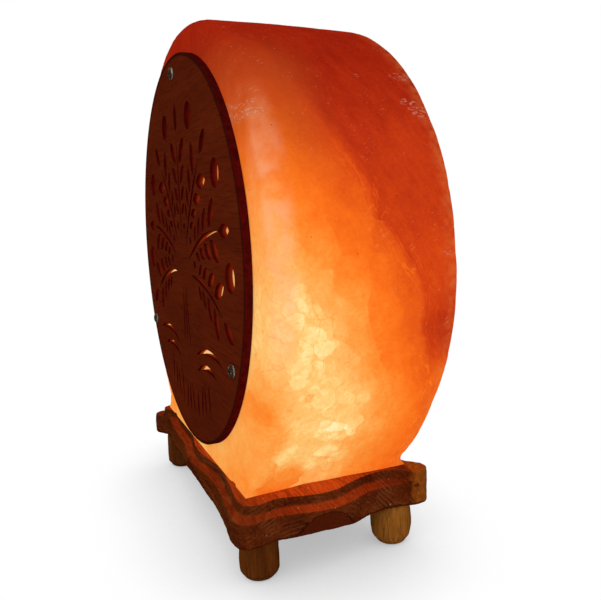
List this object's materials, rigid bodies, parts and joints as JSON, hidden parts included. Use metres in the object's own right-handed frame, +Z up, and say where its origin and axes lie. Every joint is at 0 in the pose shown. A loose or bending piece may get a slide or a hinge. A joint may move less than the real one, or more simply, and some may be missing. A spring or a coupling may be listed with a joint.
{
  "type": "salt crystal lamp",
  "caption": "Round rock salt lamp on a stepped wooden plank with turned feet, a fretted wooden disc on its face and a screw-in bulb on a push-in spring lampholder.",
  "frame": {"origin": "on the floor under the middle of the salt disc, at the height of the soles of the feet", "axes": "+Z up, +X to the right and +Y to the back as seen from the front, which is the side with the fretted panel"},
  "size_m": [0.2, 0.0847, 0.2156],
  "materials": {
    "salt": "rough sanded rock salt, glowing orange from inside, dark red bands",
    "plywood": "dark stained birch plywood, laser-cut edges",
    "plank_wood": "reddish brown stained hardwood, oiled, open grain",
    "foot_wood": "brown stained dowel, vertical grain",
    "bright_steel": "bright plated screw heads",
    "nylon": "natural nylon",
    "holder_plastic": "black moulded phenolic",
    "zinc_steel": "zinc plated",
    "spring_steel": "bare spring strip",
    "contact_ceramic": "unglazed steatite",
    "contact_brass": "pressed brass",
    "bulb_cap_metal": "nickel plated brass, rolled thread",
    "bulb_black_glass": "black glass insulator",
    "solder": "soft solder",
    "bulb_glass": "clear thin glass",
    "wire_metal": "drawn wire"
  },
  "bodies": {
    "lamp": {"salt_block": "salt", "fretwork_panel": "plywood", "panel_screws": "bright_steel", "panel_plugs": "nylon", "base_board": "plank_wood", "foot_front_left": "foot_wood", "foot_front_right": "foot_wood", "foot_rear_left": "foot_wood", "foot_rear_right": "foot_wood", "salt_screws": "bright_steel", "salt_plugs": "nylon"},
    "lampholder": {"cord_collar": "holder_plastic", "cord_grip_screw": "holder_plastic", "cord_nipple": "zinc_steel", "clip_nut": "zinc_steel", "clip_spring": "spring_steel", "holder_cap": "holder_plastic", "holder_sleeve": "holder_plastic", "contact_block": "contact_ceramic", "centre_contact": "contact_brass", "side_contact": "contact_brass", "terminal_blocks": "contact_brass", "terminal_screws": "zinc_steel", "screw_shell": "contact_brass"},
    "bulb": {"bulb_cap": "bulb_cap_metal", "bulb_insulator": "bulb_black_glass", "bulb_contact": "solder", "bulb_glass": "bulb_glass", "bulb_stem": "bulb_glass", "bulb_lead_wires": "wire_metal", "bulb_filament": "wire_metal", "bulb_filament_support": "wire_metal"}
  },
  "joints": [
    {"name": "lampholder_slide", "type": "slide", "parent": "lamp", "child": "lampholder", "axis": [0, 0, -1], "range_m": [0, 0.0988]},
    {"name": "bulb_turn", "type": "hinge", "parent": "lampholder", "child": "bulb", "pos_m": [0, 0, 0.0552], "axis": [0, 0, 1], "range_deg": [0, 1440]}
  ]
}
